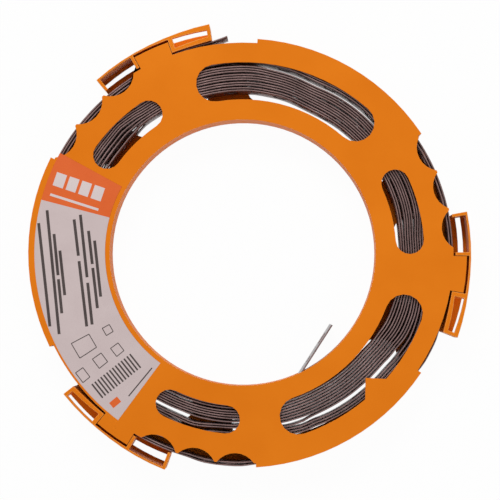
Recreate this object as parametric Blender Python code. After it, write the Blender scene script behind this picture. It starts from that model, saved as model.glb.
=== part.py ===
# Perforated steel strap, 20 x 0.8 mm, ten metres of it, wound in a moulded ring
# case. The case is two halves that snap together at three clips. The strap's
# inner tail stands in the bore and its outer end lifts off the coil.
# Metres, +Z up. Everything is built round the bore's axis, lying on the rear
# half, and is then moved so that the middle of its footprint is the origin.
# Angles are in degrees, counter-clockwise from +X, seen from the front (+Z).

import bpy
import bmesh
from math import asin, atan2, ceil, cos, degrees, hypot, pi, radians, sin, sqrt
from mathutils import Vector

# The strap
STRAP_WIDTH = 0.0200
STRAP_THICK = 0.0008
HOLE_R = 0.00425
SMALL_HOLE_R = 0.00225
HOLE_PITCH = 0.0150
HOLE_SIDES = 12
TURNS = 14

# The bore and its hub, with room for the free strap between hub and coil
BORE_R = 0.0800
HUB_WALL = 0.0020
HUB_R = BORE_R + HUB_WALL
COIL_ROOM = 0.0125

# The coil: one turned ring, its turns shown by the ridges on both ends
COIL_DEPTH = 0.0330
COIL_IN_R = HUB_R + COIL_ROOM
COIL_OUT_R = COIL_IN_R + COIL_DEPTH
RIDGE = 0.0012
GROOVE_DEPTH = 0.0016
COIL_STEPS = 60

# Inner tail: it leaves the coil at the root, turns at the bend and runs straight
# at its heading through the hub into the bore. Its lower edge leans to one side.
TAIL_ROOT_ANGLE = 273.0
TAIL_ROOT_SINK = 0.0015
TAIL_BEND_ANGLE = 284.5104
TAIL_BEND_RISE = 0.000708
TAIL_HEADING = 57.94
TAIL_LENGTH = 0.055576
TAIL_LEAN = 0.0012
BEND_START = 0.0040
BEND_END = 0.0060
BEND_CUT = 0.22
TAIL_TWIST_END = 0.0120
TAIL_FIRST_HOLE = 0.0100
TAIL_HOLES = 3

# Outer end: (angle, rise of the strap's middle above the coil's radius), to the tip
OUTER_END = ((110.0, -0.0009), (105.0, -0.0002), (100.0, 0.0004), (98.5, 0.0009),
             (96.5, 0.0019), (93.6, 0.0037))
OUTER_FIRST_HOLE = 0.0050

# The case. Its rim stands round the coil with a wall of its own, and is drawn in
# where the open arcs are. The first scallop of each arc is in the front half only.
PLATE = 0.0020
GAP = 0.0003
FIT = 0.0003
RIM_WALL = 0.0012
RIM_DROP = 0.0025
SCALLOP_DEPTH = 0.0062
RIM_R = COIL_OUT_R + FIT + RIM_WALL
LOW_RIM_R = RIM_R - RIM_DROP
SCALLOP_BOTTOM_R = LOW_RIM_R - SCALLOP_DEPTH
EDGE_STEP = 4.0

# Angles of the rim's features, from the middle of each clip
CLIP_ANGLES = (354.6, 114.6, 234.6)
HIGH_RIM = (39.0, 91.4)
LOW_RIM_START = -28.2
SCALLOP_ANGLES = (11.8, 22.6, 33.4)
SCALLOP_HALF = 5.1
SCALLOP_STEPS = 8

# Windows, with full round ends: (first angle, last angle) from the middle of a clip.
# The rear half has the same windows, mirrored about an angle. Where the label
# is, the front has no long window. One long window has a pointer on its rim.
WINDOW_SPARE = 0.0023
SHORT_COVER = 0.0184
LONG_COVER = 0.0128
POINTER_DEPTH = 0.0094
WINDOW_IN_R = COIL_IN_R - WINDOW_SPARE
SHORT_OUT_R = COIL_OUT_R - SHORT_COVER
LONG_OUT_R = COIL_OUT_R - LONG_COVER
SHORT_WINDOW = (4.8, 34.5)
LONG_WINDOW = (48.0, 111.0)
REAR_MIRROR = 22.4
POINTER = (309.8, 314.4, 318.6)
POINTER_TIP_R = LONG_OUT_R - POINTER_DEPTH
CAP_STEPS = 8

# The snap leg under each tab, and its hook
LEG_CLEAR = 0.0028
LEG_THICK = 0.0022
LEG_HALF = 0.0080
LEG_FOOT_Z = 0.0074
HOOK_REACH = 0.0028
HOOK_FACE_Z = 0.0110
HOOK_LIP = 0.0008
LEG_IN_R = RIM_R + LEG_CLEAR
LEG_OUT_R = LEG_IN_R + LEG_THICK
HOOK_R = LEG_OUT_R + HOOK_REACH

# Clips. The tab covers the leg, and the frame's wall stands round both: the wall's
# thickness is given by (angle, thickness). Each frame stands out a little more
# towards one of its ends, by the swing given for each clip.
TAB_LIP = 0.0005
TAB_GAP = 0.0015
TAB_SIDE_GAP = 0.15
TAB_MIDDLE = -0.3
TAB_R = LEG_OUT_R + TAB_LIP
TAB = ((-5.0, TAB_R), (4.4, TAB_R))
FRAME_IN_R = TAB_R + TAB_GAP
FRAME_WALL = ((-16.3, 0.0023), (-6.0, 0.0014), (0.0, 0.0012), (15.7, 0.0012))
FRAME_SWING = (-0.0003, -0.0009, 0.0012)
FRAME_HALF = 16.0

# The frame's three cells. The last is open to the rear by a slot between the rim
# and a ledge; the first has its slot outside the floor, under a bar.
OPEN_CELL = (5.4, 14.9)
RIM_LEDGE = 0.0020
FRAME_LEDGE = 0.0017
FLOOR_CELL = (-15.4, -6.3)
BAR_OVERHANG = 0.0002
BAR_DEPTH = 0.0042
MID_CELL = (TAB[0][0] - TAB_SIDE_GAP, TAB[1][0] + TAB_SIDE_GAP)

# The wall between coil and frame flares where the strap leaves: rise of its inner,
# then of its outer face above the coil's radius
FLARE_IN = ((-16.6, 0.0020), (-14.6, 0.0013), (-9.6, 0.0006), (-6.0, 0.0003))
FLARE_OUT = ((-15.4, 0.0042), (-6.3, 0.0023))

# The tail's slot in the hub: room beside the strap, and cut past both faces of the hub
SLOT_ROOM = 0.0008
SLOT_WIDTH = STRAP_THICK + TAIL_LEAN + 2 * SLOT_ROOM
SLOT_PAST = 0.0040

# The label, in its shallow pocket
LABEL_MARGIN_IN = 0.0030
LABEL_MARGIN_OUT = 0.0015
LABEL_ANGLES = (151.5, 233.3)
LABEL_R = (BORE_R + LABEL_MARGIN_IN, LOW_RIM_R - LABEL_MARGIN_OUT)
LABEL_THICK = 0.0003
POCKET_DEPTH = 0.0005

# Heights that follow from the sizes above
STRAP_LOW = PLATE + GAP
STRAP_TOP = STRAP_LOW + STRAP_WIDTH
INSIDE_TOP = STRAP_TOP + GAP
TOP = INSIDE_TOP + PLATE
PARTING = TOP / 2
PAST = 0.0050

PLASTIC = ("orange_plastic", (0.730, 0.180, 0.013, 1.0), 0.42, 0.0)
STEEL = ("galvanised_steel", (0.420, 0.400, 0.390, 1.0), 0.38, 1.0)
PAPER = ("label_paper", (0.640, 0.520, 0.500, 1.0), 0.55, 0.0)


def clear_scene():
    for old in list(bpy.data.objects):
        bpy.data.objects.remove(old, do_unlink=True)


def material(spec):
    name, colour, roughness, metallic = spec
    made = bpy.data.materials.get(name)
    if made is None:
        made = bpy.data.materials.new(name)
        made.use_nodes = True
        shader = made.node_tree.nodes["Principled BSDF"]
        shader.inputs["Base Color"].default_value = colour
        shader.inputs["Roughness"].default_value = roughness
        shader.inputs["Metallic"].default_value = metallic
        made.diffuse_color = colour
    return made


def polar(radius, angle):
    turn = radians(angle)
    return (radius * cos(turn), radius * sin(turn))


def spread(first, last):
    count = max(1, ceil(abs(last - first) / EDGE_STEP))
    return [first + (last - first) * i / count for i in range(count + 1)]


def arc(radius, first, last):
    return [polar(radius, angle) for angle in spread(first, last)]


def level(points, angle):
    for (a, low), (b, high) in zip(points, points[1:]):
        if angle <= b:
            break
    return low + (high - low) * (angle - a) / (b - a)


def curve(points, turn):
    angles = spread(points[0][0], points[-1][0])
    return [polar(level(points, angle), turn + angle) for angle in angles]


def frame_outer(swing):
    return [(angle, FRAME_IN_R + wall + swing * angle / FRAME_HALF) for angle, wall in FRAME_WALL]


def new_object(name, bm, spec):
    bmesh.ops.recalc_face_normals(bm, faces=bm.faces)
    mesh = bpy.data.meshes.new(name)
    bm.to_mesh(mesh)
    bm.free()
    made = bpy.data.objects.new(name, mesh)
    bpy.context.scene.collection.objects.link(made)
    made.data.materials.append(material(spec))
    return made


def prism(name, outline, low, high, spec=PLASTIC):
    bm = bmesh.new()
    face = bm.faces.new([bm.verts.new((x, y, low)) for x, y in outline])
    grown = bmesh.ops.extrude_face_region(bm, geom=[face])
    top = [v for v in grown["geom"] if isinstance(v, bmesh.types.BMVert)]
    bmesh.ops.translate(bm, verts=top, vec=(0, 0, high - low))
    return new_object(name, bm, spec)


def turned(name, profile, steps, spec=PLASTIC):
    bm = bmesh.new()
    verts = [bm.verts.new((r, 0, z)) for r, z in profile]
    edges = [bm.edges.new((verts[i - 1], verts[i])) for i in range(len(verts))]
    bmesh.ops.spin(bm, geom=verts + edges, cent=(0, 0, 0), axis=(0, 0, 1), angle=2 * pi,
                   steps=steps, use_merge=True)
    return new_object(name, bm, spec)


def lofted(name, rings, bm, spec):
    for one, two in zip(rings, rings[1:]):
        for i in range(len(one)):
            bm.faces.new((one[i - 1], one[i], two[i], two[i - 1]))
    bm.faces.new(rings[0])
    bm.faces.new(rings[-1])
    return new_object(name, bm, spec)


def swept(name, sections, spec=PLASTIC):
    bm = bmesh.new()
    rings = []
    for angle, profile in sections:
        x, y = polar(1, angle)
        rings.append([bm.verts.new((r * x, r * y, z)) for r, z in profile])
    return lofted(name, rings, bm, spec)


def sector(name, in_r, out_r, first, last, low, high, spec=PLASTIC):
    profile = [(in_r, low), (out_r, low), (out_r, high), (in_r, high)]
    return swept(name, [(angle, profile) for angle in spread(first, last)], spec)


def disc(name, radius, low, high):
    return prism(name, arc(radius, 0, 360)[:-1], low, high)


def combine(target, tool, operation):
    change = target.modifiers.new(operation.lower(), "BOOLEAN")
    change.operation = operation
    change.solver = "EXACT"
    change.object = tool
    tool.hide_render = True
    tool.display_type = "WIRE"
    bpy.context.view_layer.update()
    shape = target.evaluated_get(bpy.context.evaluated_depsgraph_get())
    result = bpy.data.meshes.new_from_object(shape)
    target.modifiers.remove(change)
    used = target.data
    target.data = result
    result.name = target.name
    bpy.data.meshes.remove(used)
    bpy.data.objects.remove(tool, do_unlink=True)


def cut(target, tool):
    combine(target, tool, "DIFFERENCE")


def fuse(target, tool):
    combine(target, tool, "UNION")


def scallop(angle):
    cusp_x, cusp_y = polar(LOW_RIM_R, SCALLOP_HALF)
    depth = cusp_x - SCALLOP_BOTTOM_R
    radius = (cusp_y ** 2 + depth ** 2) / (2 * depth)
    centre = SCALLOP_BOTTOM_R + radius
    reach = atan2(cusp_y, centre - cusp_x)
    points = []
    for i in range(SCALLOP_STEPS + 1):
        swing = reach * (2 * i / SCALLOP_STEPS - 1)
        x = centre - radius * cos(swing)
        y = radius * sin(swing)
        points.append(polar(hypot(x, y), angle + degrees(atan2(y, x))))
    return points


def rim_outline(bumps, scallops):
    points = []
    for clip, bump in zip(CLIP_ANGLES, bumps):
        points += arc(LOW_RIM_R, clip + LOW_RIM_START, clip + bump[0][0])
        points += curve(bump, clip)
        points += [polar(LOW_RIM_R, clip + bump[-1][0])]
        for angle in scallops:
            points += scallop(clip + angle)
        points += [polar(LOW_RIM_R, clip + HIGH_RIM[0])]
        points += arc(RIM_R, clip + HIGH_RIM[0], clip + HIGH_RIM[1])
        points += [polar(LOW_RIM_R, clip + HIGH_RIM[1])]
    return points


def window_outline(out_r, first, last, pointer=()):
    middle = (WINDOW_IN_R + out_r) / 2
    half = (out_r - WINDOW_IN_R) / 2
    inset = degrees(asin(half / middle))
    start, end = first + inset, last - inset
    if pointer:
        outer = arc(out_r, start, pointer[0])
        outer += [polar(POINTER_TIP_R, pointer[1])]
        outer += arc(out_r, pointer[2], end)
    else:
        outer = arc(out_r, start, end)
    points = outer + cap(middle, half, end, 0)
    points += arc(WINDOW_IN_R, end, start)
    points += cap(middle, half, start, 180)
    return points


def cap(middle, half, angle, turn):
    cx, cy = polar(middle, angle)
    points = []
    for i in range(1, CAP_STEPS):
        x, y = polar(half, angle + turn + 180 * i / CAP_STEPS)
        points.append((cx + x, cy + y))
    return points


def cavity(low, high):
    rim = COIL_OUT_R + FIT
    return turned("cavity", [(HUB_R, low), (rim, low), (rim, high), (HUB_R, high)], 90)


def tail_line():
    bend = Vector(polar(COIL_IN_R - TAIL_BEND_RISE, TAIL_BEND_ANGLE))
    return bend, Vector(polar(1, TAIL_HEADING))


def crossing(bend, along, radius):
    nearest = -bend.dot(along)
    away = bend.length_squared - nearest ** 2
    return bend + along * (nearest - sqrt(radius ** 2 - away))


def tail_slot():
    bend, along = tail_line()
    across = Vector((-along.y, along.x))
    middle = across * (TAIL_LEAN / 2)
    root = crossing(bend, along, HUB_R + SLOT_PAST)
    mouth = crossing(bend, along, BORE_R - SLOT_PAST)
    half = across * (SLOT_WIDTH / 2)
    corners = [root + half, root - half, mouth - half, mouth + half]
    return prism("tail_slot", [tuple(c + middle) for c in corners], PLATE, INSIDE_TOP)


def snap_leg(clip):
    root = INSIDE_TOP + PLATE / 2
    x, y = polar(1, clip + TAB_MIDDLE)
    side = [(LEG_IN_R, root), (LEG_IN_R, LEG_FOOT_Z), (LEG_OUT_R, LEG_FOOT_Z),
            (HOOK_R, HOOK_FACE_Z - HOOK_LIP), (HOOK_R, HOOK_FACE_Z),
            (LEG_OUT_R, HOOK_FACE_Z), (LEG_OUT_R, root)]
    bm = bmesh.new()
    face = bm.faces.new([bm.verts.new((r, -LEG_HALF, z)) for r, z in side])
    grown = bmesh.ops.extrude_face_region(bm, geom=[face])
    moved = [v for v in grown["geom"] if isinstance(v, bmesh.types.BMVert)]
    bmesh.ops.translate(bm, verts=moved, vec=(0, 2 * LEG_HALF, 0))
    for vert in bm.verts:
        vert.co = Vector((vert.co.x * x - vert.co.y * y, vert.co.x * y + vert.co.y * x, vert.co.z))
    return new_object("snap_leg", bm, PLASTIC)


def make_front():
    low = PARTING + GAP / 2
    bumps = [TAB] * len(CLIP_ANGLES)
    shell = prism("front_shell", rim_outline(bumps, SCALLOP_ANGLES), low, TOP)
    cut(shell, cavity(low - PAST, INSIDE_TOP))
    cut(shell, disc("bore", BORE_R, low - PAST, TOP + PAST))
    for clip in CLIP_ANGLES:
        cut(shell, sector("tab_relief", SCALLOP_BOTTOM_R, FRAME_IN_R, clip + MID_CELL[0],
                          clip + MID_CELL[1], low - PAST, INSIDE_TOP))
        fuse(shell, snap_leg(clip))
        outline = window_outline(SHORT_OUT_R, clip + SHORT_WINDOW[0], clip + SHORT_WINDOW[1])
        cut(shell, prism("window", outline, INSIDE_TOP - PAST, TOP + PAST))
        first, last = (clip + edge for edge in LONG_WINDOW)
        if first < LABEL_ANGLES[0] or first > LABEL_ANGLES[1]:
            pointer = POINTER if first < POINTER[0] < last else ()
            outline = window_outline(LONG_OUT_R, first, last, pointer)
            cut(shell, prism("window", outline, INSIDE_TOP - PAST, TOP + PAST))
    cut(shell, tail_slot())
    margin = degrees(FIT / LABEL_R[1])
    cut(shell, sector("pocket", LABEL_R[0] - FIT, LABEL_R[1] + FIT, LABEL_ANGLES[0] - margin,
                      LABEL_ANGLES[1] + margin, TOP - POCKET_DEPTH, TOP + PAST))
    return shell


def open_cell(clip, swing):
    slot_in = RIM_R + RIM_LEDGE
    sections = []
    for angle in spread(*OPEN_CELL):
        outer = FRAME_IN_R + swing * angle / FRAME_HALF
        slot_out = outer - FRAME_LEDGE
        profile = [(COIL_OUT_R, PLATE), (slot_in, PLATE), (slot_in, -PAST), (slot_out, -PAST),
                   (slot_out, PLATE), (outer, PLATE), (outer, TOP + PAST),
                   (COIL_OUT_R, TOP + PAST)]
        sections.append((clip + angle, profile))
    return swept("open_cell", sections)


def floor_cell(clip):
    beyond = FRAME_IN_R + PAST
    bar = FRAME_IN_R - BAR_OVERHANG
    under_bar = TOP - BAR_DEPTH
    sections = []
    for angle in spread(*FLOOR_CELL):
        inner = COIL_OUT_R + level(FLARE_OUT, angle)
        profile = [(inner, PLATE), (FRAME_IN_R, PLATE), (FRAME_IN_R, -PAST),
                   (beyond, -PAST), (beyond, under_bar), (bar, under_bar),
                   (bar, TOP + PAST), (inner, TOP + PAST)]
        sections.append((clip + angle, profile))
    return swept("floor_cell", sections)


def leg_cell(clip):
    profile = [(RIM_R, PLATE), (FRAME_IN_R, PLATE), (FRAME_IN_R, TOP + PAST),
               (COIL_OUT_R, TOP + PAST), (COIL_OUT_R, INSIDE_TOP - FIT),
               (RIM_R, INSIDE_TOP - FIT)]
    return swept("leg_cell", [(clip + angle, profile) for angle in spread(*MID_CELL)])


def strap_exit(clip):
    sections = []
    for angle in spread(FLARE_IN[0][0], FLARE_IN[-1][0]):
        outer = COIL_OUT_R + level(FLARE_IN, angle)
        profile = [(SCALLOP_BOTTOM_R, PLATE), (outer, PLATE), (outer, TOP + PAST),
                   (SCALLOP_BOTTOM_R, TOP + PAST)]
        sections.append((clip + angle, profile))
    return swept("strap_exit", sections)


def make_rear():
    high = PARTING - GAP / 2
    bumps = [frame_outer(swing) for swing in FRAME_SWING]
    shell = prism("rear_shell", rim_outline(bumps, SCALLOP_ANGLES[1:]), 0, TOP)
    cut(shell, cavity(PLATE, TOP + PAST))
    cut(shell, disc("hub_top", HUB_R + HUB_WALL, high, TOP + PAST))
    cut(shell, disc("bore", BORE_R, -PAST, TOP + PAST))
    hook_half = degrees((LEG_HALF + FIT) / LEG_IN_R)
    past_frame = FRAME_WALL[-1][0] + FIT
    for clip, swing in zip(CLIP_ANGLES, FRAME_SWING):
        cut(shell, sector("rim_top", SCALLOP_BOTTOM_R, RIM_R + PAST, clip + past_frame,
                          clip + HIGH_RIM[1] + 1, high, TOP + PAST))
        cut(shell, strap_exit(clip))
        cut(shell, open_cell(clip, swing))
        cut(shell, floor_cell(clip))
        cut(shell, leg_cell(clip))
        middle = clip + TAB_MIDDLE
        cut(shell, sector("hook_window", LEG_IN_R, FRAME_IN_R + PAST, middle - hook_half,
                          middle + hook_half, LEG_FOOT_Z - FIT, HOOK_FACE_Z + FIT))
        turn = REAR_MIRROR + clip
        for out_r, (first, last) in ((SHORT_OUT_R, SHORT_WINDOW), (LONG_OUT_R, LONG_WINDOW)):
            outline = window_outline(out_r, turn - last, turn - first)
            cut(shell, prism("window", outline, -PAST, PLATE + PAST))
    cut(shell, tail_slot())
    return shell


def strap_run(name, path, leans):
    bm = bmesh.new()
    rings = []
    for i, here in enumerate(path):
        before = path[max(i - 1, 0)]
        after = path[min(i + 1, len(path) - 1)]
        along = (after - before).normalized()
        across = Vector((-along.y, along.x)) * (STRAP_THICK / 2)
        low = here + across.normalized() * leans[i]
        corners = ((low - across, STRAP_LOW), (low + across, STRAP_LOW),
                   (here + across, STRAP_TOP), (here - across, STRAP_TOP))
        rings.append([bm.verts.new((p.x, p.y, z)) for p, z in corners])
    return lofted(name, rings, bm, STEEL)


def hole(radius, centre, along, depth_in, depth_out=PAST):
    out = Vector((along.y, -along.x, 0))
    middle = Vector((centre.x, centre.y, (STRAP_LOW + STRAP_TOP) / 2))
    bm = bmesh.new()
    ring = []
    for i in range(HOLE_SIDES):
        turn = 2 * pi * (i + 0.5) / HOLE_SIDES
        place = middle + Vector((along.x, along.y, 0)) * radius * cos(turn)
        ring.append(bm.verts.new(place + Vector((0, 0, radius * sin(turn))) - out * depth_in))
    grown = bmesh.ops.extrude_face_region(bm, geom=[bm.faces.new(ring)])
    moved = [v for v in grown["geom"] if isinstance(v, bmesh.types.BMVert)]
    bmesh.ops.translate(bm, verts=moved, vec=out * (depth_in + depth_out))
    return new_object("hole", bm, STEEL)


def coil_profile():
    pitch = (COIL_OUT_R - COIL_IN_R - RIDGE) / (TURNS - 1)
    top, low = [], []
    for i in range(TURNS):
        start = COIL_IN_R + i * pitch
        top += [(start, STRAP_TOP), (start + RIDGE, STRAP_TOP)]
        low += [(start, STRAP_LOW), (start + RIDGE, STRAP_LOW)]
        if i < TURNS - 1:
            valley = start + (RIDGE + pitch) / 2
            top.append((valley, STRAP_TOP - GROOVE_DEPTH))
            low.append((valley, STRAP_LOW + GROOVE_DEPTH))
    return low + top[::-1]


def tail_path():
    bend, onward = tail_line()
    tip = bend + onward * TAIL_LENGTH
    root = Vector(polar(COIL_IN_R + TAIL_ROOT_SINK, TAIL_ROOT_ANGLE))
    before = (bend - root).normalized() * BEND_START
    after = onward * BEND_END
    path = [root, bend - before, bend + (after - before) * BEND_CUT, bend + after]
    path += [bend + onward * TAIL_TWIST_END, tip]
    return path, [0, 0, 0, TAIL_LEAN / 2, TAIL_LEAN, TAIL_LEAN]


def outer_turn_holes():
    step = degrees(HOLE_PITCH / COIL_OUT_R)
    open_arcs = []
    for clip in CLIP_ANGLES:
        open_arcs.append((clip + LOW_RIM_START, clip + FRAME_WALL[0][0]))
        open_arcs.append((clip + FRAME_WALL[-1][0], clip + HIGH_RIM[0]))
    kept = []
    for i in range(1, int(360 / step) - 1):
        radius = HOLE_R if i % 2 else SMALL_HOLE_R
        angle = OUTER_END[-1][0] + degrees(OUTER_FIRST_HOLE / COIL_OUT_R) + i * step
        half = degrees(radius / COIL_OUT_R)
        for start, end in open_arcs:
            if start + half < (angle - start) % 360 + start < end - half:
                kept.append((angle, radius))
    return kept


def make_strap():
    coil = turned("strap_coil", coil_profile(), COIL_STEPS, STEEL)
    path, leans = tail_path()
    tail = strap_run("tail", path, leans)
    onward = (path[-1] - path[-2]).normalized()
    sideways = Vector((-onward.y, onward.x)) * (TAIL_LEAN / 2)
    for i in range(TAIL_HOLES):
        radius = SMALL_HOLE_R if i % 2 else HOLE_R
        back = onward * (TAIL_FIRST_HOLE + i * HOLE_PITCH)
        cut(tail, hole(radius, path[-1] - back + sideways, onward, PAST))
    fuse(coil, tail)
    ends = [Vector(polar(COIL_OUT_R + rise, angle)) for angle, rise in OUTER_END]
    outer = strap_run("outer_end", ends, [0] * len(ends))
    onward = (ends[-1] - ends[-2]).normalized()
    cut(outer, hole(SMALL_HOLE_R, ends[-1] - onward * OUTER_FIRST_HOLE, onward, PAST))
    fuse(coil, outer)
    for angle, radius in outer_turn_holes():
        x, y = polar(1, angle)
        cut(coil, hole(radius, Vector((x, y)) * COIL_OUT_R, Vector((-y, x)), STRAP_THICK))
    return coil


def make_label():
    base = TOP - POCKET_DEPTH + GAP
    return sector("label", *LABEL_R, *LABEL_ANGLES, base, base + LABEL_THICK, PAPER)


def shade(part):
    part.data.polygons.foreach_set("use_smooth", [True] * len(part.data.polygons))
    part.data.set_sharp_from_angle(angle=radians(28))


def centre_on_origin(parts):
    spots = [v.co for part in parts for v in part.data.vertices]
    xs, ys = [v.x for v in spots], [v.y for v in spots]
    stand = bpy.data.objects.new("bore_axis", None)
    bpy.context.scene.collection.objects.link(stand)
    stand.location = (-(min(xs) + max(xs)) / 2, -(min(ys) + max(ys)) / 2, 0)
    for part in parts:
        part.parent = stand
    bpy.context.view_layer.update()


clear_scene()
pieces = [make_rear(), make_front(), make_strap(), make_label()]
for piece in pieces:
    shade(piece)
centre_on_origin(pieces)
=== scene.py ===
from bisect import bisect_right
from math import cos, pi, radians, sin

import bmesh
import bpy
from mathutils import Matrix, Vector


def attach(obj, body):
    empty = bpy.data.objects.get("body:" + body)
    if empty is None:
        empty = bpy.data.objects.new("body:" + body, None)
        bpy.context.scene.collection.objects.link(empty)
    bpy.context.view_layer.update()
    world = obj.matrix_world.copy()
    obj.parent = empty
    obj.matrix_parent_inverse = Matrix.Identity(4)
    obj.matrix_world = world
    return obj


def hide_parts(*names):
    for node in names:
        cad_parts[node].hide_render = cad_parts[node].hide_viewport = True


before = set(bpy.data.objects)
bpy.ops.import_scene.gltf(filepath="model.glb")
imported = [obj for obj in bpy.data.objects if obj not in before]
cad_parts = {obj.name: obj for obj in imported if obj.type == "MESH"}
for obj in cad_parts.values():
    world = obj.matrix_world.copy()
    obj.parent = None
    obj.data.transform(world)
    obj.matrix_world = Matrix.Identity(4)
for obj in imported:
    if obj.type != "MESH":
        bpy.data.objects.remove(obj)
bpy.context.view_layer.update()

# Sizes are in millimetres and angles in degrees, about the axis of the case's bore.
# AXIS, the camera, the lamps and what is marked so are in metres.
MM = 0.001
AXIS = Vector((-0.004036, -0.003740, 0.0))


def polar(radius, angle):
    return Vector((radius * cos(radians(angle)), radius * sin(radians(angle))))


def smooth(t):
    t = min(max(t, 0.0), 1.0)
    return t * t * (3 - 2 * t)


def rise(away, half):
    return smooth(1.6 * (1 - away / half)) if away < half else 0.0


def hump(angle, middle, half):
    return rise(abs((angle - middle + 180) % 360 - 180), half)


def between(points, x):
    i = min(max(bisect_right([p[0] for p in points], x) - 1, 0), len(points) - 2)
    (x0, y0), (x1, y1) = points[i], points[i + 1]
    return y0 + (y1 - y0) * smooth((x - x0) / (x1 - x0))


# ---- materials ----

def shader_material(name):
    mat = bpy.data.materials.new(name)
    mat.use_nodes = True
    return mat, mat.node_tree, mat.node_tree.nodes["Principled BSDF"]


def add(tree, kind, **values):
    node = tree.nodes.new(kind)
    for key, value in values.items():
        if hasattr(node, key):
            setattr(node, key, value)
        else:
            node.inputs[key.replace("_", " ")].default_value = value
    return node


def grey(value):
    return (value,) * 3


def ramp(tree, source, *stops):
    node = tree.nodes.new("ShaderNodeValToRGB")
    while len(node.color_ramp.elements) < len(stops):
        node.color_ramp.elements.new(0.5)
    for element, (place, colour) in zip(node.color_ramp.elements, stops):
        element.position = place
        element.color = (*colour, 1.0)
    tree.links.new(source, node.inputs["Fac"])
    return node.outputs["Color"]


def mapped(tree, scale=(1, 1, 1)):
    coords = add(tree, "ShaderNodeTexCoord")
    mapping = add(tree, "ShaderNodeMapping")
    mapping.inputs["Scale"].default_value = scale
    tree.links.new(coords.outputs["Object"], mapping.inputs["Vector"])
    return mapping.outputs["Vector"]


def noise(tree, vector, scale, detail, rough=0.55):
    node = add(tree, "ShaderNodeTexNoise", Scale=scale, Detail=detail, Roughness=rough)
    tree.links.new(vector, node.inputs["Vector"])
    return node.outputs["Fac"]


def multiplied(tree, factor, one, two):
    node = tree.nodes.new("ShaderNodeMix")
    node.data_type = "RGBA"
    node.blend_type = "MULTIPLY"
    node.inputs["Factor"].default_value = factor
    for value, spot in ((one, "A"), (two, "B")):
        socket = [s for s in node.inputs if s.name == spot and s.type == "RGBA"][0]
        tree.links.new(value, socket)
    return [s for s in node.outputs if s.type == "RGBA"][0]


def bumped(tree, shader, *layers):
    normal = None
    for height, strength, distance in layers:
        bump = add(tree, "ShaderNodeBump", Strength=strength, Distance=distance)
        tree.links.new(height, bump.inputs["Height"])
        if normal is not None:
            tree.links.new(normal, bump.inputs["Normal"])
        normal = bump.outputs["Normal"]
    tree.links.new(normal, shader.inputs["Normal"])


def plastic(name, dark, mid, light):
    mat, tree, shader = shader_material(name)
    even = mapped(tree)
    clouds = noise(tree, even, scale=22.0, detail=4.0)
    grain = noise(tree, even, scale=1500.0, detail=2.0)
    flow = noise(tree, mapped(tree, (1, 1, 6)), scale=90.0, detail=3.0)
    colour = ramp(tree, clouds, (0.30, dark), (0.55, mid), (0.75, light))
    sheen = ramp(tree, flow, (0.3, grey(0.36)), (0.7, grey(0.47)))
    tree.links.new(colour, shader.inputs["Base Color"])
    tree.links.new(sheen, shader.inputs["Roughness"])
    bumped(tree, shader, (grain, 0.10, 0.00010), (clouds, 0.12, 0.00060))
    shader.inputs["Specular IOR Level"].default_value = 0.025
    return mat


def steel(name, dark, mid, light, metallic, rough):
    mat, tree, shader = shader_material(name)
    even = mapped(tree)
    streaks = noise(tree, mapped(tree, (9, 9, 900)), scale=2.2, detail=4.0)
    spangle = add(tree, "ShaderNodeTexVoronoi", Scale=380.0)
    tree.links.new(even, spangle.inputs["Vector"])
    patches = noise(tree, even, scale=60.0, detail=5.0, rough=0.6)
    fine = noise(tree, even, scale=900.0, detail=2.0)
    colour = ramp(tree, patches, (0.30, dark), (0.52, mid), (0.74, light))
    dulled = ramp(tree, spangle.outputs["Color"], (0.0, grey(0.80)), (1.0, grey(1.0)))
    colour = multiplied(tree, 0.7, colour, dulled)
    lines = ramp(tree, streaks, (0.35, grey(0.72)), (0.65, grey(1.0)))
    colour = multiplied(tree, 0.6, colour, lines)
    sheen = ramp(tree, streaks, (0.3, grey(rough - 0.08)), (0.7, grey(rough + 0.12)))
    tree.links.new(colour, shader.inputs["Base Color"])
    tree.links.new(sheen, shader.inputs["Roughness"])
    shader.inputs["Metallic"].default_value = metallic
    bumped(tree, shader, (streaks, 0.18, 0.00006), (fine, 0.12, 0.00005))
    return mat


def film(name, low, high, rough):
    mat, tree, shader = shader_material(name)
    even = mapped(tree)
    clouds = noise(tree, even, scale=70.0, detail=4.0)
    fibre = noise(tree, even, scale=1800.0, detail=2.0)
    colour = ramp(tree, clouds, (0.3, low), (0.7, high))
    sheen = ramp(tree, clouds, (0.3, grey(rough - 0.06)), (0.7, grey(rough + 0.06)))
    tree.links.new(colour, shader.inputs["Base Color"])
    tree.links.new(sheen, shader.inputs["Roughness"])
    bumped(tree, shader, (clouds, 0.10, 0.0004), (fibre, 0.05, 0.00005))
    shader.inputs["Specular IOR Level"].default_value = 0.25
    return mat


CASE_MATERIALS = [
    plastic("moulded_orange", dark=(0.785, 0.196, 0.0085), mid=(0.820, 0.211, 0.0100),
            light=(0.850, 0.225, 0.0115)),
    # A lighter orange for the rounded edges: a painted highlight where they catch the light
    plastic("painted_edge_highlight", dark=(0.880, 0.300, 0.0400), mid=(0.930, 0.370, 0.0750),
            light=(0.950, 0.430, 0.1200))]
EDGE_HIGHLIGHT = 1

STRAP_MATERIALS = [
    steel("galvanised_face", dark=(0.235, 0.172, 0.165), mid=(0.325, 0.242, 0.235),
          light=(0.430, 0.335, 0.325), metallic=0.60, rough=0.42),
    steel("sheared_edge", dark=(0.155, 0.096, 0.090), mid=(0.232, 0.146, 0.138),
          light=(0.330, 0.215, 0.205), metallic=0.55, rough=0.50),
    # A brighter, greyer copy of the face: painted light for the tail, which stands lit in the
    # bore while the coil's faces are in shade
    steel("galvanised_painted_lit", dark=(0.300, 0.295, 0.300), mid=(0.400, 0.393, 0.400),
          light=(0.500, 0.490, 0.500), metallic=0.60, rough=0.38)]
STRAP_FACE, STRAP_EDGE, STRAP_LIT_FACE = range(3)

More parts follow.
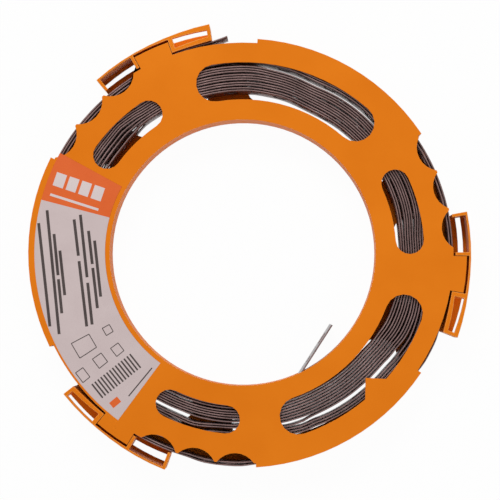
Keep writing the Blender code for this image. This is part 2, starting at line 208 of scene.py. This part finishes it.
LABEL_MATERIALS = [
    film("label_paper", low=(0.600, 0.492, 0.490), high=(0.640, 0.532, 0.528), rough=0.50),
    film("label_header", low=(0.730, 0.118, 0.018), high=(0.780, 0.138, 0.024), rough=0.46),
    film("label_ink", low=(0.050, 0.036, 0.034), high=(0.075, 0.058, 0.055), rough=0.50),
    film("label_pale", low=(0.690, 0.590, 0.585), high=(0.730, 0.630, 0.620), rough=0.50)]
PAPER, HEADER, INK, PALE = range(4)


# ---- making pieces ----

def finish_piece(name, bm, materials, sharp_angle, node):
    bmesh.ops.recalc_face_normals(bm, faces=bm.faces)
    mesh = bpy.data.meshes.new(name)
    bm.to_mesh(mesh)
    bm.free()
    piece = bpy.data.objects.new(name, mesh)
    bpy.context.scene.collection.objects.link(piece)
    for mat in materials:
        mesh.materials.append(mat)
    mesh.polygons.foreach_set("use_smooth", [True] * len(mesh.polygons))
    mesh.set_sharp_from_angle(angle=radians(sharp_angle))
    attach(piece, "root")
    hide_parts(node)
    return piece


def vertex(bm, place, height):
    return bm.verts.new((place.x * MM + AXIS.x, place.y * MM + AXIS.y, height * MM))


def face(bm, verts, index=0):
    bm.faces.new(verts).material_index = index


# ---- the case: the imported halves with rounded edges, made lighter by a painted highlight ----

# In metres: bevel, and the distance at which the imported mesh's corners are one
EDGE_BEVEL = 0.00050
WELD = 0.00006
FLAT_ANGLE = 0.3
BEVEL_ANGLE = 25
# An edge is rounded where none beside it is shorter than this many bevels
BEVEL_ROOM = 2.2

# Plates that close the rear half's scallops, which show no light in the photograph:
# both angles from the middle of a clip, both radii, both heights
CLIP_ANGLES = (354.6, 114.6, 234.6)
PLATE_ANGLES = (16.9, 39.1)
PLATE_RADII = (119.0, 126.48)
PLATE_HEIGHTS = (0.03, 1.97)
PLATE_STEPS = 12


def add_plate(bm, clip):
    (start, end), (r0, r1), (z0, z1) = PLATE_ANGLES, PLATE_RADII, PLATE_HEIGHTS
    a0, a1 = clip + start, clip + end
    loops = []
    for i in range(PLATE_STEPS + 1):
        angle = a0 + (a1 - a0) * i / PLATE_STEPS
        corners = ((r0, z0), (r0, z1), (r1, z1), (r1, z0))
        loops.append([vertex(bm, polar(radius, angle), height) for radius, height in corners])
    face(bm, loops[0])
    face(bm, loops[-1])
    for one, two in zip(loops, loops[1:]):
        for k in range(4):
            face(bm, (one[k - 1], one[k], two[k], two[k - 1]))


def sort_faces(bm):
    # The bevel leaves its faces in an order that changes from run to run
    bm.verts.index_update()
    count = len(bm.verts)

    def three_lowest(face):
        a, b, c = sorted(v.index for v in face.verts)[:3]
        return (a * count + b) * count + c

    bm.faces.sort(key=three_lowest)


def make_half(node, name, plated_clips=()):
    bm = bmesh.new()
    bm.from_mesh(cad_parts[node].data)
    bmesh.ops.remove_doubles(bm, verts=bm.verts, dist=WELD)
    bmesh.ops.dissolve_limit(bm, angle_limit=radians(FLAT_ANGLE), verts=bm.verts, edges=bm.edges)
    chosen = []
    for edge in bm.edges:
        if len(edge.link_faces) != 2 or edge.calc_face_angle(0) < radians(BEVEL_ANGLE):
            continue
        near = [e for v in edge.verts for e in v.link_edges]
        if min(e.calc_length() for e in near) > BEVEL_ROOM * EDGE_BEVEL:
            chosen.append(edge)
    # The rounded edges take the lighter orange, a painted highlight
    bmesh.ops.bevel(bm, geom=chosen, offset=EDGE_BEVEL, offset_type="OFFSET", segments=2,
                    profile=0.5, affect="EDGES", clamp_overlap=True, material=EDGE_HIGHLIGHT)
    for clip in plated_clips:
        add_plate(bm, clip)
    sort_faces(bm)
    piece = finish_piece(name, bm, CASE_MATERIALS, 40.0, node)
    even = piece.modifiers.new("even", "WEIGHTED_NORMAL")
    even.keep_sharp = True


# ---- the strap: its inner tail, fourteen and a half turns, and its lifted end ----

STRAP_MIDDLE = 12.3
STRAP_WIDTH = 20.0
STRAP_THICK = 0.8
STRAP_HALF = STRAP_THICK / 2
EDGE_ROUND = 0.18

# The spiral's middle line runs inside out and clockwise from the tail's bend
TURNS = 14.535
START_ANGLE = 286.1
STEPS_PER_TURN = 360
PITCH = 1.45
# Wider all round one side: extra width, angle, half its reach
SLACK = (0.25, 313, 55)
# The innermost turn: share of the turn, radius
FIRST_TURN = ((0.000, 91.4), (0.095, 92.4), (0.206, 94.0), (0.345, 96.6), (0.392, 96.6),
              (0.406, 96.7), (0.425, 97.5), (0.442, 98.8), (0.475, 98.8), (0.509, 97.9),
              (0.550, 98.0), (0.578, 97.3), (0.617, 95.6), (0.656, 96.1), (0.720, 96.6),
              (0.742, 96.4), (0.781, 95.3), (0.864, 96.0), (0.888, 94.7), (0.905, 93.6),
              (0.931, 93.3), (0.975, 92.9), (1.000, 92.95))
# Wider gaps: angle, half their reach, turn, extra width
GAPS = ((70, 44, 9, 1.90), (312, 30, 8, 1.85), (18, 14, 1, 0.80), (18, 14, 5, 0.75),
        (94, 24, 3, 0.45), (78, 40, 1, 0.35), (54, 14, 5, 0.55), (94, 16, 6, 0.55),
        (142, 17, 0, 1.70), (142, 18, 1, 0.90), (142, 18, 2, 0.80), (250, 30, 1, 0.55),
        (260, 12, 5, 0.60), (244, 20, 6, 2.05), (262, 18, 6, 0.60), (262, 20, 8, 1.40),
        (336, 10, 1, 0.30), (336, 10, 5, 0.35), (334, 12, 9, 0.60), (286.2, 7, 7, 1.20))

# The outermost turns follow the rim, and their middle is a little off its centre
OUTER_R = 126.9
OFF_CENTRE_ANGLE = 290
OFF_CENTRE_OUT, OFF_CENTRE_IN = 0.75, 1.5
# Where they press outwards: extra radius, angle, half its reach, over how many turns
PRESSED = ((1.5, 264.5, 11), (1.2, 332, 8))
PRESSED_TURNS = 3
OUTER_PITCH = 1.05
OUTER_PITCH_MORE = 0.8
# The turn at which the gaps from inside give way to those from the rim, and how fast
OUTER_START, OUTER_BLEND = 12.0, 0.17

# The lifted end: angle, radius of the strap's middle line
OUTER_END = ((93.4, 131.1), (96.5, 129.4), (98.5, 128.5), (100.0, 128.0), (105.0, 127.3),
             (112.0, 126.4))
OUTER_END_REACH = 18

# The tail's tip, its bend, and how far its lower edge leans towards the axis. Its brighter face,
# painted light, ends, and its lean fades into the coil's, at these distances along the strap.
TAIL_TIP = Vector((53.75, -43.60))
BEND_ROOM = 6
BEND_STEPS = 8
BEND_END = 4
TAIL_LEAN = 1.0
COIL_LEAN = 0.22
LEAN_START, LEAN_FADE = 44, 14
TAIL_LIT_END = 56.0

# Where the turns have slipped up and down past each other: height, length along the strap
DRIFT = ((0.16, 310.0), (0.05, 47.0))

# Perforations, large and small in turn
LARGE_HOLE, SMALL_HOLE = 4.25, 2.25
HOLE_PITCH = 15.0
FIRST_HOLE, LAST_HOLE = 10.0, 5.0
HOLE_SIDES = 16
SIDE_HEIGHT = 5.0


def gap_width(turn, angle):
    extra = 0.0
    for middle, half, k, width in GAPS:
        away = abs(360 * (turn - k) - (START_ANGLE - middle) % 360)
        extra += width * rise(away, half)
    slack, middle, half = SLACK
    return PITCH + slack * hump(angle, middle, half) + extra


def outer_radius(angle, left):
    swing = cos(radians(angle - OFF_CENTRE_ANGLE))
    edge = OUTER_R + (OFF_CENTRE_OUT if swing > 0 else OFF_CENTRE_IN) * swing
    pressed = sum(extra * hump(angle, middle, half) for extra, middle, half in PRESSED)
    edge += pressed * max(0.0, 1 - left / PRESSED_TURNS)
    return edge - STRAP_HALF - OUTER_PITCH * left - OUTER_PITCH_MORE * max(0.0, left - 1)


def spiral():
    step = 1.0 / STEPS_PER_TURN
    radii = []
    for i in range(int(TURNS * STEPS_PER_TURN) + 1):
        u = i * step
        if u < 1:
            radii.append(between(FIRST_TURN, u))
        else:
            angle = (START_ANGLE - 360 * u) % 360
            radii.append(radii[i - STEPS_PER_TURN] + gap_width(u - 1, angle))
    points = []
    for i, inner in enumerate(radii):
        u = i * step
        angle = START_ANGLE - 360 * u
        left = TURNS - u
        share = smooth((u - OUTER_START) / OUTER_BLEND)
        radius = inner * (1 - share) + outer_radius(angle, left) * share
        if left < OUTER_END_REACH / 360:
            radius = max(radius, between(OUTER_END, OUTER_END[0][0] + 360 * left))
        points.append(polar(radius, angle))
    return points


def strap_path():
    turns = spiral()
    bend = turns[0]
    inward = (TAIL_TIP - bend).normalized()
    tail = [TAIL_TIP - inward * i for i in range(int((TAIL_TIP - bend).length - BEND_ROOM))]
    start, end = bend + inward * BEND_ROOM, turns[BEND_END]
    for i in range(BEND_STEPS + 1):
        t = i / BEND_STEPS
        tail.append(start * (1 - t) ** 2 + bend * 2 * t * (1 - t) + end * t * t)
    return tail + turns[BEND_END + 1:]


PATH = strap_path()
ALONG = [0.0]
for one, two in zip(PATH, PATH[1:]):
    ALONG.append(ALONG[-1] + (two - one).length)
LENGTH = ALONG[-1]


def on_path(s):
    i = min(max(bisect_right(ALONG, s) - 1, 0), len(PATH) - 2)
    part = (s - ALONG[i]) / (ALONG[i + 1] - ALONG[i])
    place = PATH[i].lerp(PATH[i + 1], part)
    before, after = max(i - 2, 0), min(i + 3, len(PATH) - 1)
    onward = (PATH[after] - PATH[before]).normalized()
    return place, onward


def strap_vertex(bm, s, height, side):
    place, onward = on_path(s)
    out = Vector((onward.y, -onward.x))
    lean = COIL_LEAN + (TAIL_LEAN - COIL_LEAN) * (1 - smooth((s - LEAN_START) / LEAN_FADE))
    lean *= 0.5 - height / STRAP_WIDTH
    drift = sum(lift * sin(s / reach) for lift, reach in DRIFT)
    return vertex(bm, place + out * (side + lean), STRAP_MIDDLE + height + drift)


def edge_chain(bm, s, sign):
    low = STRAP_WIDTH / 2
    places = ((STRAP_HALF, low - EDGE_ROUND), (STRAP_HALF - EDGE_ROUND, low),
              (EDGE_ROUND - STRAP_HALF, low), (-STRAP_HALF, low - EDGE_ROUND))
    return [strap_vertex(bm, s, sign * z, side) for side, z in places]


def strap_column(bm, s):
    column = {"up": edge_chain(bm, s, 1), "down": edge_chain(bm, s, -1)}
    for side in (STRAP_HALF, -STRAP_HALF):
        column[side] = [strap_vertex(bm, s, z, side) for z in (-SIDE_HEIGHT, 0.0, SIDE_HEIGHT)]
    return column


def strap_cell(bm, left, right, s0, s1, hole_s, radius):
    # The tail's cells take the face in painted light, brighter than the coil's
    skin = STRAP_LIT_FACE if s1 < TAIL_LIT_END else STRAP_FACE
    inner = [s0 + (s1 - s0) * k / 4 for k in (1, 2, 3)]
    ups = [left["up"]] + [edge_chain(bm, s, 1) for s in inner] + [right["up"]]
    downs = [left["down"]] + [edge_chain(bm, s, -1) for s in inner] + [right["down"]]
    for chains in (ups, downs):
        for one, two in zip(chains, chains[1:]):
            for k in range(3):
                face(bm, (one[k], one[k + 1], two[k + 1], two[k]), STRAP_EDGE)
    rings = []
    for side, k in ((STRAP_HALF, 0), (-STRAP_HALF, 3)):
        border = [right[side][1], right[side][2]] + [chain[k] for chain in reversed(ups)]
        border += left[side][::-1] + [chain[k] for chain in downs] + [right[side][0]]
        ring = []
        for j in range(HOLE_SIDES):
            turn = 2 * pi * j / HOLE_SIDES
            ring.append(strap_vertex(bm, hole_s + radius * cos(turn), radius * sin(turn), side))
        for j in range(HOLE_SIDES):
            face(bm, (ring[j - 1], ring[j], border[j], border[j - 1]), skin)
        rings.append(ring)
    for j in range(HOLE_SIDES):
        face(bm, (rings[0][j - 1], rings[0][j], rings[1][j], rings[1][j - 1]), STRAP_EDGE)


def end_cap(bm, column):
    face(bm, column["down"][::-1] + column[STRAP_HALF] + column["up"] + column[-STRAP_HALF][::-1],
         STRAP_EDGE)


def make_strap():
    count = round((LENGTH - FIRST_HOLE - LAST_HOLE) / HOLE_PITCH)
    count += 1 - count % 2
    pitch = (LENGTH - FIRST_HOLE - LAST_HOLE) / count
    bm = bmesh.new()
    s = 0.0
    left = strap_column(bm, s)
    end_cap(bm, left)
    for i in range(count + 1):
        hole_s = FIRST_HOLE + i * pitch
        after = hole_s + pitch / 2 if i < count else LENGTH
        right = strap_column(bm, after)
        strap_cell(bm, left, right, s, after, hole_s, SMALL_HOLE if i % 2 else LARGE_HOLE)
        s, left = after, right
    end_cap(bm, left)
    finish_piece("wound_strap", bm, STRAP_MATERIALS, 50.0, "strap_coil")


# ---- the label ----

LABEL_LOW, LABEL_HIGH = 24.40, 24.70
LABEL_ANGLES = (151.385, 233.415)
LABEL_R = (82.75, 125.25)
LABEL_STEPS = 60
HEADER_END = 165.3
INK_DEPTH = 0.04
INK_ROOT = 0.1

# Plain bars in place of the print: angle and radius of both ends, width, material, and
# the shares of its length at which each piece of the bar starts and ends
WHOLE = (0, 1)
BARS = ((163.2, 121.0, 163.5, 90.5, 1.5, PALE, WHOLE),
        (229.4, 121.0, 229.9, 115.0, 4.0, HEADER, WHOLE),
        (231.6, 110.0, 231.9, 88.0, 0.7, INK, WHOLE),
        (171.8, 124.0, 201.0, 124.0, 1.75, INK, WHOLE),
        (167.8, 120.4, 204.0, 120.6, 1.75, INK, WHOLE),
        (174.4, 114.0, 198.6, 114.6, 1.75, INK, (0, 0.52, 0.57, 1)),
        (179.4, 109.9, 193.5, 109.9, 1.75, INK, WHOLE),
        (168.9, 103.3, 205.4, 103.6, 1.75, INK, (0, 0.34, 0.39, 1)),
        (166.9, 100.2, 205.6, 100.2, 1.75, INK, (0, 0.57, 0.62, 1)),
        (172.0, 93.6, 201.0, 93.4, 1.75, INK, (0, 0.43, 0.48, 1)),
        (175.4, 89.3, 197.3, 89.3, 1.75, INK, WHOLE),
        (158.5, 121.5, 157.6, 91.0, 8.4, PALE, (0, 0.21, 0.27, 0.47, 0.53, 0.73, 0.79, 1)))
# Equal bars in place of the bar code: angle and radius of both ends
CODE_ENDS = ((223.6, 121.5), (225.4, 90.5))
CODE_BARS = 14
CODE_HEIGHT = 10.5
CODE_BAR_WIDTH = 1.0
# Plain outlines in place of the drawings: angle and radius of two opposite corners
BOXES = ((208.0, 116.5, 213.0, 104.5), (208.4, 95.8, 211.4, 91.0), (215.4, 110.6, 219.0, 104.2),
         (216.0, 98.0, 219.6, 92.4), (215.8, 123.6, 219.2, 118.2))
BOX_LINE = 0.5


def across(one, two, width):
    return Vector((one.y - two.y, two.x - one.x)).normalized() * (width / 2)


def printed():
    bars = []
    for a0, r0, a1, r1, width, index, cuts in BARS:
        one, two = polar(r0, a0), polar(r1, a1)
        for start, end in zip(cuts[::2], cuts[1::2]):
            bars.append((one.lerp(two, start), one.lerp(two, end), width, index))
    one, two = (polar(radius, angle) for angle, radius in CODE_ENDS)
    up = across(one, two, CODE_HEIGHT)
    for i in range(CODE_BARS):
        spot = one.lerp(two, (i + 0.5) / CODE_BARS)
        bars.append((spot - up, spot + up, CODE_BAR_WIDTH, INK))
    for a0, r0, a1, r1 in BOXES:
        corners = [polar(r0, a0), polar(r0, a1), polar(r1, a1), polar(r1, a0)]
        for i in range(4):
            bars.append((corners[i - 1], corners[i], BOX_LINE, INK))
    return bars


def make_label():
    start, end = LABEL_ANGLES
    angles = {start + (end - start) * i / LABEL_STEPS for i in range(LABEL_STEPS + 1)}
    angles = sorted(angles | {HEADER_END})
    top = LABEL_HIGH - INK_DEPTH
    bm = bmesh.new()
    loops = []
    for angle in angles:
        inner, outer = polar(LABEL_R[0], angle), polar(LABEL_R[1], angle)
        corners = ((inner, LABEL_LOW), (inner, top), (outer, top), (outer, LABEL_LOW))
        loops.append([vertex(bm, place, height) for place, height in corners])
    for angle, one, two in zip(angles, loops, loops[1:]):
        for k in range(4):
            face(bm, (one[k - 1], one[k], two[k], two[k - 1]),
                 HEADER if angle < HEADER_END else PAPER)
    face(bm, loops[0], HEADER)
    face(bm, loops[-1], PAPER)
    for one, two, width, index in printed():
        aside = across(one, two, width)
        corners = (one - aside, one + aside, two + aside, two - aside)
        low = [vertex(bm, c, LABEL_LOW + INK_ROOT) for c in corners]
        high = [vertex(bm, c, LABEL_HIGH) for c in corners]
        face(bm, low, index)
        face(bm, high, index)
        for k in range(4):
            face(bm, (low[k - 1], low[k], high[k], high[k - 1]), index)
    finish_piece("label_film", bm, LABEL_MATERIALS, 30.0, "label")


# ---- stage, light and camera ----

FLOOR_GLOW = 0.965
WORLD_LIGHT = 0.54
LENS = 156.0
# From the bore's axis, in metres
CAMERA_PLACE = Vector((0.026, -0.043, 1.3246))
CAMERA_AIM = Vector((0.00445, 0.00143, 0.0246))


def seen(tree):
    path = add(tree, "ShaderNodeLightPath")
    either = add(tree, "ShaderNodeMath", operation="MAXIMUM")
    tree.links.new(path.outputs["Is Camera Ray"], either.inputs[0])
    tree.links.new(path.outputs["Is Glossy Ray"], either.inputs[1])
    return either.outputs[0]


def make_floor():
    bm = bmesh.new()
    bmesh.ops.create_grid(bm, x_segments=8, y_segments=8, size=3.0)
    mesh = bpy.data.meshes.new("floor")
    bm.to_mesh(mesh)
    bm.free()
    floor = bpy.data.objects.new("floor", mesh)
    bpy.context.scene.collection.objects.link(floor)
    mat, tree, shader = shader_material("studio_floor")
    shader.inputs["Base Color"].default_value = (0.82, 0.82, 0.82, 1)
    shader.inputs["Roughness"].default_value = 0.9
    glow = add(tree, "ShaderNodeEmission", Strength=1.0)
    shade = add(tree, "ShaderNodeMixShader", Fac=FLOOR_GLOW)
    tree.links.new(shader.outputs[0], shade.inputs[1])
    tree.links.new(glow.outputs[0], shade.inputs[2])
    pick = add(tree, "ShaderNodeMixShader")
    tree.links.new(seen(tree), pick.inputs["Fac"])
    tree.links.new(shader.outputs[0], pick.inputs[1])
    tree.links.new(shade.outputs[0], pick.inputs[2])
    tree.links.new(pick.outputs[0], tree.nodes["Material Output"].inputs["Surface"])
    mesh.materials.append(mat)


def make_world():
    world = bpy.data.worlds.new("studio")
    bpy.context.scene.world = world
    world.use_nodes = True
    tree = world.node_tree
    back = tree.nodes["Background"]
    back.inputs["Color"].default_value = (1, 1, 1, 1)
    low = add(tree, "ShaderNodeBackground", Strength=WORLD_LIGHT)
    pick = add(tree, "ShaderNodeMixShader")
    tree.links.new(seen(tree), pick.inputs["Fac"])
    tree.links.new(low.outputs[0], pick.inputs[1])
    tree.links.new(back.outputs[0], pick.inputs[2])
    tree.links.new(pick.outputs[0], tree.nodes["World Output"].inputs["Surface"])


def make_lamp(name, place, size, watts, colour):
    data = bpy.data.lights.new(name, "AREA")
    data.shape = "RECTANGLE"
    data.size, data.size_y = size
    data.energy = watts
    data.color = colour
    lamp = bpy.data.objects.new(name, data)
    lamp.location = place
    lamp.rotation_euler = (-Vector(place)).to_track_quat("-Z", "Y").to_euler()
    bpy.context.scene.collection.objects.link(lamp)


def make_camera():
    data = bpy.data.cameras.new("camera")
    data.sensor_width = 36.0
    data.lens = LENS
    data.clip_start, data.clip_end = 0.05, 20.0
    camera = bpy.data.objects.new("camera", data)
    place, aim = AXIS + CAMERA_PLACE, AXIS + CAMERA_AIM
    back = (place - aim).normalized()
    right = Vector((0, 1, 0)).cross(back).normalized()
    up = back.cross(right)
    camera.matrix_world = Matrix((right, up, back)).transposed().to_4x4()
    camera.matrix_world.translation = place
    bpy.context.scene.collection.objects.link(camera)
    bpy.context.scene.camera = camera


make_camera()
make_world()
make_floor()
make_lamp("key", place=(-0.25, 1.05, 1.35), size=(0.9, 0.7), watts=14.8, colour=(1.0, 0.99, 0.97))
make_lamp("fill", place=(0.9, -0.8, 1.2), size=(1.2, 1.0), watts=4.3, colour=(0.97, 0.98, 1.0))
bpy.context.scene.view_settings.view_transform = "Standard"

make_strap()
make_half("front_shell", "case_front")
make_half("rear_shell", "case_rear", CLIP_ANGLES)
make_label()

bpy.context.view_layer.update()
